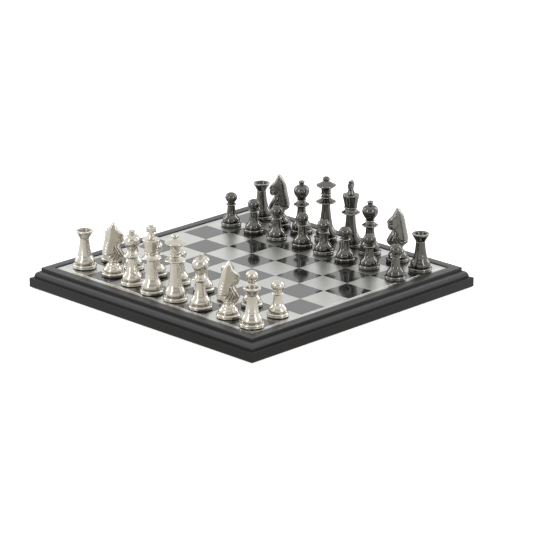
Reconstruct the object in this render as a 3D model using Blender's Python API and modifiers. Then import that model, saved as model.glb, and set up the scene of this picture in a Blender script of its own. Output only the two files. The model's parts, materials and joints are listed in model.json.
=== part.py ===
"""Chess set: a mitred black frame round a brushed metal playing plate, with 32 cast metal pieces.

Metres, +Z up. The origin is at the middle of the underside, on the surface that the set stands on.
Files a to h run along +X and ranks 1 to 8 along +Y.
"""
from math import copysign, cos, pi, radians, sin

import bmesh
import bpy

# ---------------------------------------------------------------- driving dimensions
SQUARE = 0.032                    # side of one square
SQUARES = 8                       # squares along each side
GAP = 0.0003                      # clearance between touching parts

FRAME_HALF = 4.735 * SQUARE       # outer half-width of the frame
RAIL_WIDTH = 0.0179               # frame width, outer face to plate
RAIL_BOTTOM = 0.0010              # the rails clear the table by this much
FRAME_HEIGHT = 0.0196             # underside of a rail to its top
LEDGE_HEIGHT = 0.0060             # height of the rebate that carries the core panel
LEDGE_WIDTH = 0.0040
PLATE_RECESS = 0.0008             # the plate lies this far below the frame's top
PLATE_THICKNESS = 0.0010
BACKING_THICKNESS = 0.0015
FOOT_RADIUS = 0.0065              # felt feet under the corners
FOOT_INSET = 0.0090

FRAME_TOP = RAIL_BOTTOM + FRAME_HEIGHT
PLATE_TOP = FRAME_TOP - PLATE_RECESS
WELL_HALF = FRAME_HALF - RAIL_WIDTH
PIECE_BOTTOM = PLATE_TOP + GAP

TURNING_STEPS = 14                # facets round a turned piece
PAWN_STEPS = 12
SHOULDER_BOTTOM = 0.145           # height of every piece's shoulder over its foot, in squares
CROSS_HALF = 0.136                # half the king's cross, tip to tip, in squares
CROSS_THICKNESS = 0.09
CROSS_CENTRE = 1.94               # height of the cross's middle, in squares
HEAD_THICKNESS = 0.30             # knight's head at its foot, in squares
HEAD_TAPER = 0.28                 # how much thinner the head is at the ears
HEAD_BOTTOM = 0.48                # height of the head's seat, in squares
HEAD_HEIGHT = 1.20

# How far each piece stands off the middle of its square, along the files and the ranks, in squares.
OFFSETS = {
    "a1": (-0.10, 0.00), "b1": (0.05, 0.10), "c1": (0.05, -0.05), "d1": (0.05, -0.20),
    "e1": (0.00, -0.15), "f1": (0.05, -0.15), "g1": (0.15, -0.10), "h1": (0.20, -0.20),
    "g2": (-0.05, 0.05), "h2": (0.10, -0.05),
    "a8": (0.20, 0.25), "b8": (0.15, 0.10), "c8": (0.10, 0.10), "d8": (0.15, 0.10),
    "e8": (0.15, 0.15), "f8": (0.05, 0.05), "g8": (0.15, 0.10), "h8": (0.25, -0.10),
    "a7": (0.05, 0.05), "b7": (0.05, 0.05), "c7": (0.05, 0.05), "d7": (0.10, 0.10),
    "e7": (0.05, 0.05), "h7": (0.25, -0.20),
}

# Piece, file and the way it is turned about its axis, in degrees from +X, for each side's back row.
SILVER_ROW = [("rook_a", "a", 0), ("knight_b", "b", 45), ("bishop_c", "c", 0), ("king", "d", 45),
              ("queen", "e", 0), ("bishop_f", "f", 0), ("knight_g", "g", 38), ("rook_h", "h", 0)]
DARK_ROW = [("rook_a", "a", 0), ("knight_b", "b", 225), ("bishop_c", "c", 0), ("queen", "d", 0),
            ("king", "e", 115), ("bishop_f", "f", 0), ("knight_g", "g", 232), ("rook_h", "h", 0)]


# ---------------------------------------------------------------- scene and materials
def clear_scene():
    for obj in list(bpy.data.objects):
        bpy.data.objects.remove(obj, do_unlink=True)


def new_collection(name):
    collection = bpy.data.collections.new(name)
    bpy.context.scene.collection.children.link(collection)
    return collection


def new_material(name, colour, metallic, roughness):
    material = bpy.data.materials.new(name)
    material.use_nodes = True
    shader = material.node_tree.nodes["Principled BSDF"]
    shader.inputs["Base Color"].default_value = (*colour, 1.0)
    shader.inputs["Metallic"].default_value = metallic
    shader.inputs["Roughness"].default_value = roughness
    material.diffuse_color = (*colour, 1.0)
    return material


def add_object(name, data, material=None, collection=None):
    obj = bpy.data.objects.new(name, data)
    (collection or PARTS).objects.link(obj)
    if material is not None:
        data.materials.clear()
        data.materials.append(material)
    return obj


# ---------------------------------------------------------------- modelling helpers
def outline_curve(name, points, half_thickness):
    """A flat closed outline, extruded by half_thickness each way along its own Z."""
    curve = bpy.data.curves.new(name, "CURVE")
    curve.dimensions = "2D"
    curve.fill_mode = "BOTH"
    curve.extrude = half_thickness
    spline = curve.splines.new("POLY")
    spline.points.add(len(points) - 1)
    for point, (x, y) in zip(spline.points, points):
        point.co = (x, y, 0.0, 1.0)
    spline.use_cyclic_u = True
    return curve


def curve_to_mesh(name, curve):
    """The closed mesh of an outline curve."""
    guide = add_object(name + "_outline", curve)
    bpy.context.view_layer.update()
    evaluated = guide.evaluated_get(bpy.context.evaluated_depsgraph_get())
    mesh = bpy.data.meshes.new_from_object(evaluated)
    mesh.name = name
    bpy.data.objects.remove(guide, do_unlink=True)
    bm = bmesh.new()
    bm.from_mesh(mesh)
    bmesh.ops.remove_doubles(bm, verts=bm.verts, dist=GAP / 30)
    bmesh.ops.recalc_face_normals(bm, faces=bm.faces)
    bm.to_mesh(mesh)
    bm.free()
    return mesh


def box_mesh(name, size):
    bm = bmesh.new()
    bmesh.ops.create_cube(bm, size=1.0)
    bmesh.ops.scale(bm, vec=size, verts=bm.verts)
    mesh = bpy.data.meshes.new(name)
    bm.to_mesh(mesh)
    bm.free()
    return mesh


def add_slab(name, half_width, bottom, top, material, edge=0.0):
    """A square slab centred on the board."""
    obj = add_object(name, box_mesh(name, (2 * half_width, 2 * half_width, top - bottom)), material)
    obj.location.z = (bottom + top) / 2
    if edge:
        bevel = obj.modifiers.new("edge", "BEVEL")
        bevel.width = edge
        bevel.segments = 2
    return obj


def arc(centre_z, radius, half_height, start, end, steps):
    """Points (r, z) on an ellipse about the axis, from start to end degrees above the equator."""
    angles = [radians(start + (end - start) * i / steps) for i in range(steps + 1)]
    return [(radius * cos(a), centre_z + half_height * sin(a)) for a in angles]


def profile_mesh(name, profile):
    """An open line of points (r, z), in squares, for a Screw modifier to turn."""
    bm = bmesh.new()
    verts = [bm.verts.new((r * SQUARE, 0.0, z * SQUARE)) for r, z in profile]
    for a, b in zip(verts, verts[1:]):
        bm.edges.new((a, b))
    mesh = bpy.data.meshes.new(name)
    bm.to_mesh(mesh)
    bm.free()
    return mesh


def add_turned(name, mesh, steps, material):
    """A solid of revolution about Z; the profile runs down from the axis and back to it."""
    obj = add_object(name, mesh, material)
    screw = obj.modifiers.new("turned", "SCREW")
    screw.axis = "Z"
    screw.angle = 2 * pi
    screw.steps = screw.render_steps = steps
    screw.use_merge_vertices = True
    screw.merge_threshold = GAP / 30
    screw.use_smooth_shade = True
    return obj


# ---------------------------------------------------------------- turned profiles, in squares
def foot(radius):
    """The rounded foot that every piece shares, down to the underside of its felt disc."""
    return [(radius - 0.070, 0.115), (radius, 0.070), (radius - 0.006, 0.0), (0.0, 0.0)]


def bell(stem, shoulder, top):
    """The swelling from a stem's radius down to the shoulder, over the foot."""
    width = shoulder - stem
    height = top - SHOULDER_BOTTOM
    return [(stem + 0.45 * width, SHOULDER_BOTTOM + 0.52 * height),
            (stem + 0.94 * width, SHOULDER_BOTTOM + 0.17 * height),
            (shoulder, SHOULDER_BOTTOM)]


def pawn_profile():
    ball = arc(0.915, 0.193, 0.165, 90, -48, 4)
    neck = [(0.142, 0.765), (0.123, 0.725), (0.147, 0.41)]
    return ball + neck + bell(0.147, 0.268, 0.41) + foot(0.325)


def rook_profile():
    cup = [(0.0, 1.02), (0.135, 1.035), (0.205, 1.172), (0.258, 1.175), (0.262, 1.150), (0.142, 0.930)]
    stem = [(0.152, 0.890), (0.168, 0.620), (0.208, 0.443)]
    return cup + stem + bell(0.208, 0.305, 0.443) + foot(0.366)


def bishop_profile():
    finial = [(0.0, 1.670), (0.100, 1.655), (0.080, 1.545)]
    head = [(0.192, 1.460), (0.246, 1.345), (0.212, 1.230), (0.126, 1.060)]
    collar = [(0.140, 1.015), (0.246, 0.915), (0.246, 0.885), (0.130, 0.805)]
    stem = [(0.145, 0.600), (0.190, 0.450)]
    return finial + head + collar + stem + bell(0.190, 0.300, 0.45) + foot(0.358)


def queen_profile():
    finial = arc(1.945, 0.100, 0.090, 90, -40, 3)
    coronet = [(0.160, 1.895), (0.307, 1.760), (0.302, 1.738), (0.134, 1.605)]
    beads = [(0.152, 1.480), (0.136, 1.425), (0.152, 1.370)]
    collar = [(0.310, 1.240), (0.308, 1.210), (0.127, 1.150)]
    stem = [(0.184, 0.680), (0.205, 0.505)]
    return finial + coronet + beads + collar + stem + bell(0.205, 0.312, 0.505) + foot(0.362)


def king_profile():
    finial = [(0.0, 1.845), (0.086, 1.820), (0.070, 1.780), (0.106, 1.745)]
    crown = [(0.120, 1.680), (0.250, 1.655), (0.260, 1.625), (0.198, 1.290)]
    collar = [(0.206, 1.250), (0.170, 1.200), (0.288, 1.098), (0.286, 1.072), (0.146, 1.010)]
    stem = [(0.173, 0.673), (0.198, 0.505)]
    return finial + crown + collar + stem + bell(0.198, 0.312, 0.505) + foot(0.352)


def knight_base_profile():
    neck_top = HEAD_BOTTOM - GAP / SQUARE
    neck = [(0.0, neck_top), (0.156, neck_top), (0.156, 0.400), (0.215, 0.335)]
    return neck + bell(0.215, 0.288, 0.335) + foot(0.358)


# ---------------------------------------------------------------- outlines, in squares
def cross_outline():
    """A cross with four flared arms, tip to tip 2 * CROSS_HALF, standing in the XZ plane."""
    tip = CROSS_HALF
    flare = 0.50 * CROSS_HALF
    root = 0.20 * CROSS_HALF
    arm = [(root, root), (tip, flare), (tip, -flare), (root, -root)]
    points = []
    for turn in (0, -1, -2, -3):
        angle = turn * pi / 2
        for x, y in arm[:3]:
            points.append((x * cos(angle) - y * sin(angle), x * sin(angle) + y * cos(angle)))
    return points


def knight_outline():
    """The knight's head in profile: the nose points to +X, and heights are above the board."""
    face = [(0.035, 1.680), (0.095, 1.560), (0.165, 1.430), (0.200, 1.400), (0.300, 1.290),
            (0.330, 1.240), (0.325, 1.090), (0.290, 1.020), (0.230, 0.995), (0.140, 1.020)]
    chest = [(0.185, 0.940), (0.335, 0.640), (0.300, 0.560), (0.160, HEAD_BOTTOM)]
    mane = [(-0.150, HEAD_BOTTOM), (-0.200, 0.550), (-0.285, 0.590), (-0.318, 0.680), (-0.310, 0.790),
            (-0.280, 0.930), (-0.255, 1.060), (-0.222, 1.250), (-0.165, 1.440), (-0.085, 1.600)]
    return face + chest + mane


# ---------------------------------------------------------------- board
def rail_section():
    """The rail's cross-section: inset from the outer face, and height above the rail's underside."""
    plinth = [(0.0004, 0.0), (0.0, 0.0004), (0.0, 0.0088), (0.0004, 0.0092)]
    ledge = [(0.0030, 0.0098)]
    ovolo_centre = (0.0078, 0.0104)
    ovolo = []
    for i in range(6):
        angle = pi - i * pi / 10
        ovolo.append((ovolo_centre[0] + 0.0042 * cos(angle), ovolo_centre[1] + 0.0054 * sin(angle)))
    fillet = [(0.0083, 0.0159), (0.0083, FRAME_HEIGHT - 0.0004), (0.0087, FRAME_HEIGHT)]
    lip = [(RAIL_WIDTH - 0.0003, FRAME_HEIGHT), (RAIL_WIDTH, FRAME_HEIGHT - 0.0003)]
    rebate = [(RAIL_WIDTH, LEDGE_HEIGHT), (RAIL_WIDTH + LEDGE_WIDTH, LEDGE_HEIGHT),
              (RAIL_WIDTH + LEDGE_WIDTH, 0.0)]
    return plinth + ledge + ovolo + fillet + lip + rebate


def add_rails(material):
    """Four equal rails, mitred at the corners."""
    mesh = curve_to_mesh("frame_rail", outline_curve("rail_section", rail_section(), 1.0))
    for vertex in mesh.vertices:
        inset, height, along = vertex.co
        length = copysign(FRAME_HALF - inset - GAP / 2, along)
        vertex.co = (length, inset - FRAME_HALF, height)
    for index, side in enumerate(("front", "right", "back", "left")):
        rail = add_object("rail_" + side, mesh, material)
        rail.location.z = RAIL_BOTTOM
        rail.rotation_euler.z = index * pi / 2


def add_board():
    add_rails(FRAME_BLACK)
    panel_half = WELL_HALF - GAP
    ledge_top = RAIL_BOTTOM + LEDGE_HEIGHT
    core_top = PLATE_TOP - PLATE_THICKNESS - GAP
    add_slab("core_panel", panel_half, ledge_top + GAP, core_top, PANEL_BROWN)
    add_slab("playing_plate", panel_half, core_top + GAP, PLATE_TOP, PLATE_METAL, 0.00025)
    add_slab("backing_sheet", panel_half - LEDGE_WIDTH, ledge_top - BACKING_THICKNESS, ledge_top, FELT_BLACK)
    place = FRAME_HALF - FOOT_INSET
    top = RAIL_BOTTOM - GAP
    for index, (x, y) in enumerate(((-1, -1), (1, -1), (1, 1), (-1, 1))):
        bm = bmesh.new()
        bmesh.ops.create_cone(bm, cap_ends=True, segments=TURNING_STEPS, radius1=FOOT_RADIUS,
                              radius2=FOOT_RADIUS, depth=top)
        mesh = bpy.data.meshes.new("foot_pad")
        bm.to_mesh(mesh)
        bm.free()
        pad = add_object("foot_pad_%d" % (index + 1), mesh, FELT_BLACK)
        pad.location = (x * place, y * place, top / 2)


# ---------------------------------------------------------------- pieces
def square_centre(square):
    """World position of the middle of a piece standing on a square such as e1."""
    off_file, off_rank = OFFSETS.get(square, (0.0, 0.0))
    column = "abcdefgh".index(square[0])
    row = int(square[1]) - 1
    middle = (SQUARES - 1) / 2
    return ((column - middle + off_file) * SQUARE, (row - middle + off_rank) * SQUARE, PIECE_BOTTOM)


def place(obj, square, turn=0.0):
    obj.location = square_centre(square)
    obj.rotation_euler.z = radians(turn)


def add_cross(name, square, turn):
    """The king's cross, a guide that the king's body is joined with."""
    points = [(x * SQUARE, (y + CROSS_CENTRE) * SQUARE) for x, y in cross_outline()]
    mesh = curve_to_mesh(name, outline_curve(name, points, CROSS_THICKNESS * SQUARE / 2))
    for vertex in mesh.vertices:
        x, z, y = vertex.co
        vertex.co = (x, -y, z)
    cross = add_object(name, mesh, None, GUIDES)
    cross.hide_render = True
    cross.display_type = "WIRE"
    place(cross, square, turn)
    return cross


def add_king(name, mesh, square, turn, material):
    king = add_turned(name, mesh, TURNING_STEPS, material)
    place(king, square)
    union = king.modifiers.new("cross", "BOOLEAN")
    union.operation = "UNION"
    union.object = add_cross(name + "_cross", square, turn)
    return king


def knight_head_mesh():
    points = [(x * SQUARE, z * SQUARE) for x, z in knight_outline()]
    half = HEAD_THICKNESS * SQUARE / 2
    mesh = curve_to_mesh("knight_head", outline_curve("knight_head", points, half))
    for vertex in mesh.vertices:
        x, z, y = vertex.co
        rise = (z / SQUARE - HEAD_BOTTOM) / HEAD_HEIGHT
        vertex.co = (x, -y * (1.0 - HEAD_TAPER * rise), z)
    return mesh


def add_knight(name, base_mesh, head_mesh, square, turn, material):
    base = add_turned(name + "_base", base_mesh, TURNING_STEPS, material)
    place(base, square)
    head = add_object(name + "_head", head_mesh, material)
    place(head, square, turn)
    bevel = head.modifiers.new("edge", "BEVEL")
    bevel.width = 0.012 * SQUARE
    bevel.segments = 1
    bevel.limit_method = "ANGLE"
    bevel.angle_limit = radians(60)


def add_side(side, back_row, back_rank, pawn_rank, material, meshes):
    for kind, column, turn in back_row:
        name = side + "_" + kind
        square = column + str(back_rank)
        if kind == "king":
            add_king(name, meshes["king"].copy(), square, turn, material)
        elif kind.startswith("knight"):
            base = meshes["knight_base"].copy()
            add_knight(name, base, meshes["knight_head"].copy(), square, turn, material)
        else:
            mesh = meshes[kind.split("_")[0]].copy()
            place(add_turned(name, mesh, TURNING_STEPS, material), square)
    for column in "abcdefgh":
        pawn = add_turned(side + "_pawn_" + column, meshes["pawn"].copy(), PAWN_STEPS, material)
        place(pawn, column + str(pawn_rank))


def add_pieces():
    meshes = {
        "pawn": profile_mesh("pawn", pawn_profile()),
        "rook": profile_mesh("rook", rook_profile()),
        "bishop": profile_mesh("bishop", bishop_profile()),
        "queen": profile_mesh("queen", queen_profile()),
        "king": profile_mesh("king", king_profile()),
        "knight_base": profile_mesh("knight_base", knight_base_profile()),
        "knight_head": knight_head_mesh(),
    }
    add_side("silver", SILVER_ROW, 1, 2, SILVER, meshes)
    add_side("dark", DARK_ROW, 8, 7, DARK_NICKEL, meshes)


# ---------------------------------------------------------------- build
clear_scene()
PARTS = new_collection("chess_set")
GUIDES = new_collection("guides")
FRAME_BLACK = new_material("frame_black", (0.035, 0.036, 0.038), 0.0, 0.45)
PLATE_METAL = new_material("plate_metal", (0.74, 0.74, 0.71), 1.0, 0.35)
PANEL_BROWN = new_material("panel_brown", (0.30, 0.20, 0.12), 0.0, 0.8)
FELT_BLACK = new_material("felt_black", (0.02, 0.02, 0.02), 0.0, 0.95)
SILVER = new_material("silver", (0.78, 0.75, 0.69), 1.0, 0.12)
DARK_NICKEL = new_material("dark_nickel", (0.16, 0.15, 0.13), 1.0, 0.12)
add_board()
add_pieces()
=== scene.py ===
"""Chess set with board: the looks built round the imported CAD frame.

Metres, +Z up, files a to h along +X and ranks 1 to 8 along +Y. Shapes of the chessmen are given in squares.
"""
import json
from math import cos, pi, radians, sin

import bmesh
import bpy
import numpy as np
from mathutils import Matrix, Vector

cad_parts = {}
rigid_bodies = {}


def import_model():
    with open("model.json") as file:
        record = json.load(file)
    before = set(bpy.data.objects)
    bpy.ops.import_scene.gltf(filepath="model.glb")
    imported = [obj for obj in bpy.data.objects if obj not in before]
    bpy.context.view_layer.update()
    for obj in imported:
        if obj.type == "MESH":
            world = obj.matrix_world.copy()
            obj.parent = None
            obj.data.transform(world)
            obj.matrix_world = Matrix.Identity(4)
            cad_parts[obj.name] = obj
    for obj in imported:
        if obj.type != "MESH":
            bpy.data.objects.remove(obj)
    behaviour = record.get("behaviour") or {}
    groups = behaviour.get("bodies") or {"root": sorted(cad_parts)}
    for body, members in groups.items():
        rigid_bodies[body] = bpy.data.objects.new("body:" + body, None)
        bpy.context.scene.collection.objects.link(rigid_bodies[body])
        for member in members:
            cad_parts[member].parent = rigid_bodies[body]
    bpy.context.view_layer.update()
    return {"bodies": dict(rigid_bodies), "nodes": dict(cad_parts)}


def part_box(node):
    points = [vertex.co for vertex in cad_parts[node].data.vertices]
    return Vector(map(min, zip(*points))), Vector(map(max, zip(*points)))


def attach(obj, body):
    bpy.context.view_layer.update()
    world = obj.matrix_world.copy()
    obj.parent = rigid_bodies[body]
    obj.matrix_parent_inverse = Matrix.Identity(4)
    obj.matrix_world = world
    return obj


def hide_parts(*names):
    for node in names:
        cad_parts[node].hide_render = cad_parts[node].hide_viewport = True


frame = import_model()

# ---------------------------------------------------------------- sizes taken from the frame
SQUARE = 0.032                        # side of one square
SQUARES = 8                           # squares along one side of the board
PLATE_LOW, PLATE_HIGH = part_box("playing_plate")
RAIL_LOW, RAIL_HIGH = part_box("rail_front")
FRAME_HALF = -RAIL_LOW.y
PLATE_CLEARANCE = 0.0003              # gap between the plate and the rails
WELL_HALF = PLATE_HIGH.x + PLATE_CLEARANCE
RAIL_HEIGHT = RAIL_HIGH.z - RAIL_LOW.z
RAIL_WIDTH = FRAME_HALF - WELL_HALF
MITRE_GAP = 0.00002                   # from a rail's end to the mitre line
ENAMEL_THICKNESS = 0.00007
ENAMEL_EDGE = 0.00035                 # bare metal line left between neighbouring enamel squares

# ---------------------------------------------------------------- chessmen: values in squares
FEET = {"pawn": 0.325, "rook": 0.366, "bishop": 0.358, "queen": 0.362, "king": 0.352, "knight": 0.358}
SHOULDER_HEIGHT = 0.168               # where the swelling below the stem ends and the groove begins
FELT_HEIGHT = 0.024                   # thickness of the felt disc
FELT_INSET = 0.018                    # from the rim of the foot to the felt disc
FELT_DROP = 0.0002 / SQUARE           # how far the felt hangs below the CAD foot
SAME_POINT = 0.0008                   # profile points closer than this are taken as one
TURNED_SEGMENTS = 96                  # facets round a chessman
FELT_SEGMENTS = 64                    # facets round a felt disc or a foot of the board

# edges that turn by more than this many degrees stay sharp
TURNED_SMOOTH = 40
FELT_SMOOTH = 50
CARVED_SMOOTH = 60

# the point attribute that carries wear and painted light: 0.5 is plain surface, more is a rubbed edge or a
# painted highlight, less is painted shade in a hollow
PLAIN_WEAR = 0.5
SHADING_PER_TURN = 0.012                 # change with the sharpness of the turn in a profile: lighter as painted highlight where it turns outwards, darker as painted shade where it turns inwards
BOWL_SHADE = 0.21                      # inside a cup, where the plating is dull and the colour is painted dark as shade

# ---------------------------------------------------------------- camera
CAMERA_AZIMUTH = 44.364
CAMERA_ELEVATION = 18.697
CAMERA_DISTANCE = 89.488 * SQUARE
CAMERA_TARGET = (1.384 * SQUARE, -0.197 * SQUARE)
CAMERA_ROLL = 0.162
SENSOR = 36.0
LENS = SENSOR * 188 / 35              # a long lens: little perspective, as in the photo


# ---------------------------------------------------------------- meshes
def object_from_bmesh(name, bm, material, smooth_angle=None):
    mesh = bpy.data.meshes.new(name)
    bm.to_mesh(mesh)
    bm.free()
    return object_from_mesh(name, mesh, material, smooth_angle)


def object_from_mesh(name, mesh, material, smooth_angle=None):
    """An object on this mesh, faceted, or smooth except at edges sharper than smooth_angle in degrees."""
    if smooth_angle is not None:
        mesh.shade_smooth()
        mesh.set_sharp_from_angle(angle=radians(smooth_angle))
    mesh.materials.clear()
    mesh.materials.append(material)
    obj = bpy.data.objects.new(name, mesh)
    bpy.context.scene.collection.objects.link(obj)
    return obj


def set_attribute(mesh, name, values):
    attribute = mesh.attributes.get(name) or mesh.attributes.new(name, "FLOAT", "POINT")
    attribute.data.foreach_set("value", np.asarray(values, np.float32))


def get_points(mesh):
    """The vertex positions as an array (n, 3)."""
    points = np.zeros(len(mesh.vertices) * 3)
    mesh.vertices.foreach_get("co", points)
    return points.reshape(-1, 3)


def set_points(mesh, points):
    mesh.vertices.foreach_set("co", points.ravel())
    mesh.update()


def bridge(bm, first, second):
    """Faces between two rings of vertices; a ring may be a single point."""
    count = max(len(first), len(second))
    for i in range(count):
        j = (i + 1) % count
        corners = [first[i % len(first)], second[i % len(second)],
                   second[j % len(second)], first[j % len(first)]]
        unique = list(dict.fromkeys(corners))
        if len(unique) > 2:
            bm.faces.new(unique)


def add_stacked_squares(bm, x, y, layers):
    """A closed solid on level squares round (x, y), given from the lowest up as (half side, height)."""
    corners = ((-1, -1), (1, -1), (1, 1), (-1, 1))
    rings = []
    for half, z in layers:
        rings.append([bm.verts.new((x + right * half, y + back * half, z)) for right, back in corners])
    for lower, upper in zip(rings, rings[1:]):
        bridge(bm, upper, lower)
    bm.faces.new(rings[0][::-1])
    bm.faces.new(rings[-1])


def arc(centre, radii, start, end, steps):
    """Points on an ellipse, from start to end degrees."""
    angles = [radians(start + (end - start) * i / steps) for i in range(steps + 1)]
    return [(centre[0] + radii[0] * cos(a), centre[1] + radii[1] * sin(a)) for a in angles]


def bezier(p0, p1, p2, p3, steps):
    """Points on a cubic curve from p0 to p3."""
    points = []
    for i in range(steps + 1):
        t = i / steps
        u = 1 - t
        weights = (u * u * u, 3 * u * u * t, 3 * u * t * t, t * t * t)
        points.append(tuple(sum(w * p[k] for w, p in zip(weights, (p0, p1, p2, p3))) for k in (0, 1)))
    return points


def rounded(points, radius, steps=3):
    """An open line with its inner corners rounded; a point may carry its own radius as a third value."""
    out = [points[0][:2]]
    for before, here, after in zip(points, points[1:], points[2:]):
        own = here[2] if len(here) > 2 else radius
        p, a, b = Vector(here[:2]), Vector(before[:2]), Vector(after[:2])
        to_a, to_b = a - p, b - p
        reach = min(own, 0.45 * to_a.length, 0.45 * to_b.length)
        if reach < 1e-5:
            out.append(tuple(p))
            continue
        start = p + to_a.normalized() * reach
        end = p + to_b.normalized() * reach
        for i in range(steps + 1):
            t = i / steps
            out.append(tuple(start * (1 - t) ** 2 + p * 2 * t * (1 - t) + end * t * t))
    out.append(points[-1][:2])
    return out


def bead(centre_z, radius, half_height, root, steps=6):
    """A rounded ring that stands out from root to radius, top to bottom."""
    return arc((root, centre_z), (radius - root, half_height), 90, -90, steps)


def bell(stem, shoulder, top):
    """The swelling from a stem's radius down to the shoulder, without its first point."""
    width, height = shoulder - stem, top - SHOULDER_HEIGHT
    return bezier((stem, top), (stem + 0.06 * width, top - 0.36 * height),
                  (shoulder, top - 0.46 * height), (shoulder, SHOULDER_HEIGHT), 14)[1:]


def foot(shoulder, radius):
    """Groove under the shoulder, then the rounded foot above the felt disc."""
    roll = [(shoulder - 0.004, 0.156), (shoulder - 0.020, 0.147), (shoulder - 0.024, 0.138)]
    slope = [(radius - 0.052, 0.130), (radius - 0.030, 0.124)]
    rim = arc((radius - 0.032, 0.082), (0.032, 0.040), 80, -40, 8)
    return roll + slope + rim + [(radius - 0.012, FELT_HEIGHT, 0.004), (0.0, FELT_HEIGHT)]


def profile_wear_and_painted_light(profile):
    """The value at each point for wear and painted light: more, a painted highlight, where the profile
    turns outwards; less, painted shade, where it turns inwards.
    """
    points = np.array(profile)
    turn = np.zeros(len(points))
    before = points[1:-1] - points[:-2]
    after = points[2:] - points[1:-1]
    cross = before[:, 0] * after[:, 1] - before[:, 1] * after[:, 0]
    length_before = np.linalg.norm(before, axis=1)
    length_after = np.linalg.norm(after, axis=1)
    turn[1:-1] = cross / np.maximum(length_before * length_after, 1e-9)
    turn[1:-1] /= np.maximum(length_before + length_after, 0.01)
    smooth = np.convolve(turn, (0.25, 0.5, 0.25), "same")
    wear_and_painted_light = np.clip(PLAIN_WEAR - smooth * SHADING_PER_TURN, 0.0, 1.0)
    # a profile runs downwards, and rises only in a cup, whose inside is given painted shade
    rising = np.append(np.diff(points[:, 1]) > 0.001, False)
    return np.where(rising, BOWL_SHADE, wear_and_painted_light)


def turned_mesh(name, profile, segments=TURNED_SEGMENTS):
    """A solid of revolution; the profile (r, z), in squares, runs from the axis above to the axis below."""
    wear_and_painted_light = profile_wear_and_painted_light(profile)
    bm = bmesh.new()
    rings, values = [], []
    for (r, z), w in zip(profile, wear_and_painted_light):
        count = 1 if r < 1e-6 else segments
        ring = []
        for i in range(count):
            angle = 2 * pi * i / segments
            ring.append(bm.verts.new((r * SQUARE * cos(angle), r * SQUARE * sin(angle), z * SQUARE)))
            values.append(w)
        rings.append(ring)
    for upper, lower in zip(rings, rings[1:]):
        bridge(bm, upper, lower)
    mesh = bpy.data.meshes.new(name)
    bm.to_mesh(mesh)
    bm.free()
    set_attribute(mesh, "wear_and_painted_light", values)
    return mesh


# ---------------------------------------------------------------- materials
class Nodes:
    """Short names for building a node tree."""

    def __init__(self, tree):
        self.tree = tree

    def add(self, kind, **settings):
        node = self.tree.nodes.new(kind)
        for key, value in settings.items():
            setattr(node, key, value)
        return node

    def link(self, source, target):
        self.tree.links.new(source, target)

    def coordinates(self, kind="Object"):
        return self.add("ShaderNodeTexCoord").outputs[kind]

    def wear_and_painted_light(self):
        return self.add("ShaderNodeAttribute", attribute_name="wear_and_painted_light").outputs["Fac"]

    def seen_directly(self):
        return self.add("ShaderNodeLightPath").outputs["Is Camera Ray"]

    def noise(self, vector, scale, detail=4.0, rough=0.55, stretch=(1, 1, 1)):
        mapping = self.add("ShaderNodeMapping")
        mapping.inputs["Scale"].default_value = stretch
        self.link(vector, mapping.inputs["Vector"])
        node = self.add("ShaderNodeTexNoise")
        node.inputs["Scale"].default_value = scale
        node.inputs["Detail"].default_value = detail
        node.inputs["Roughness"].default_value = rough
        self.link(mapping.outputs["Vector"], node.inputs["Vector"])
        return node.outputs["Fac"]

    def ramp(self, value, low, high, to_low=0.0, to_high=1.0):
        node = self.add("ShaderNodeMapRange")
        for key, number in zip(("From Min", "From Max", "To Min", "To Max"), (low, high, to_low, to_high)):
            node.inputs[key].default_value = number
        self.link(value, node.inputs["Value"])
        return node.outputs["Result"]

    def mix(self, factor, a, b):
        node = self.add("ShaderNodeMix", data_type="RGBA")
        self.link(factor, node.inputs["Factor"])
        for socket, colour in zip((node.inputs["A"], node.inputs["B"]), (a, b)):
            if isinstance(colour, tuple):
                socket.default_value = (*colour, 1.0)
            else:
                self.link(colour, socket)
        return node.outputs["Result"]

    def math(self, operation, a, b):
        node = self.add("ShaderNodeMath", operation=operation)
        for socket, value in zip(node.inputs, (a, b)):
            if isinstance(value, (int, float)):
                socket.default_value = value
            else:
                self.link(value, socket)
        return node.outputs["Value"]

    def bump(self, height, strength, distance, normal=None):
        node = self.add("ShaderNodeBump")
        node.inputs["Strength"].default_value = strength
        node.inputs["Distance"].default_value = distance
        self.link(height, node.inputs["Height"])
        if normal is not None:
            self.link(normal, node.inputs["Normal"])
        return node.outputs["Normal"]


def new_material(name, **sockets):
    """A material whose shader sockets have these values; in their names a space is written as _."""
    material = bpy.data.materials.new(name)
    material.use_nodes = True
    nodes = Nodes(material.node_tree)
    shader = material.node_tree.nodes["Principled BSDF"]
    for key, value in sockets.items():
        shader.inputs[key.replace("_", " ")].default_value = value
    return material, nodes, shader


def own_coordinates(nodes):
    """Object coordinates, shifted by a different amount on each object."""
    coordinates = nodes.coordinates()
    info = nodes.add("ShaderNodeObjectInfo").outputs["Random"]
    shift = nodes.add("ShaderNodeVectorMath", operation="SCALE")
    shift.inputs[0].default_value = (3.1, 1.7, 2.3)
    nodes.link(info, shift.inputs["Scale"])
    total = nodes.add("ShaderNodeVectorMath", operation="ADD")
    nodes.link(coordinates, total.inputs[0])
    nodes.link(shift.outputs["Vector"], total.inputs[1])
    return total.outputs["Vector"]


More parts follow.
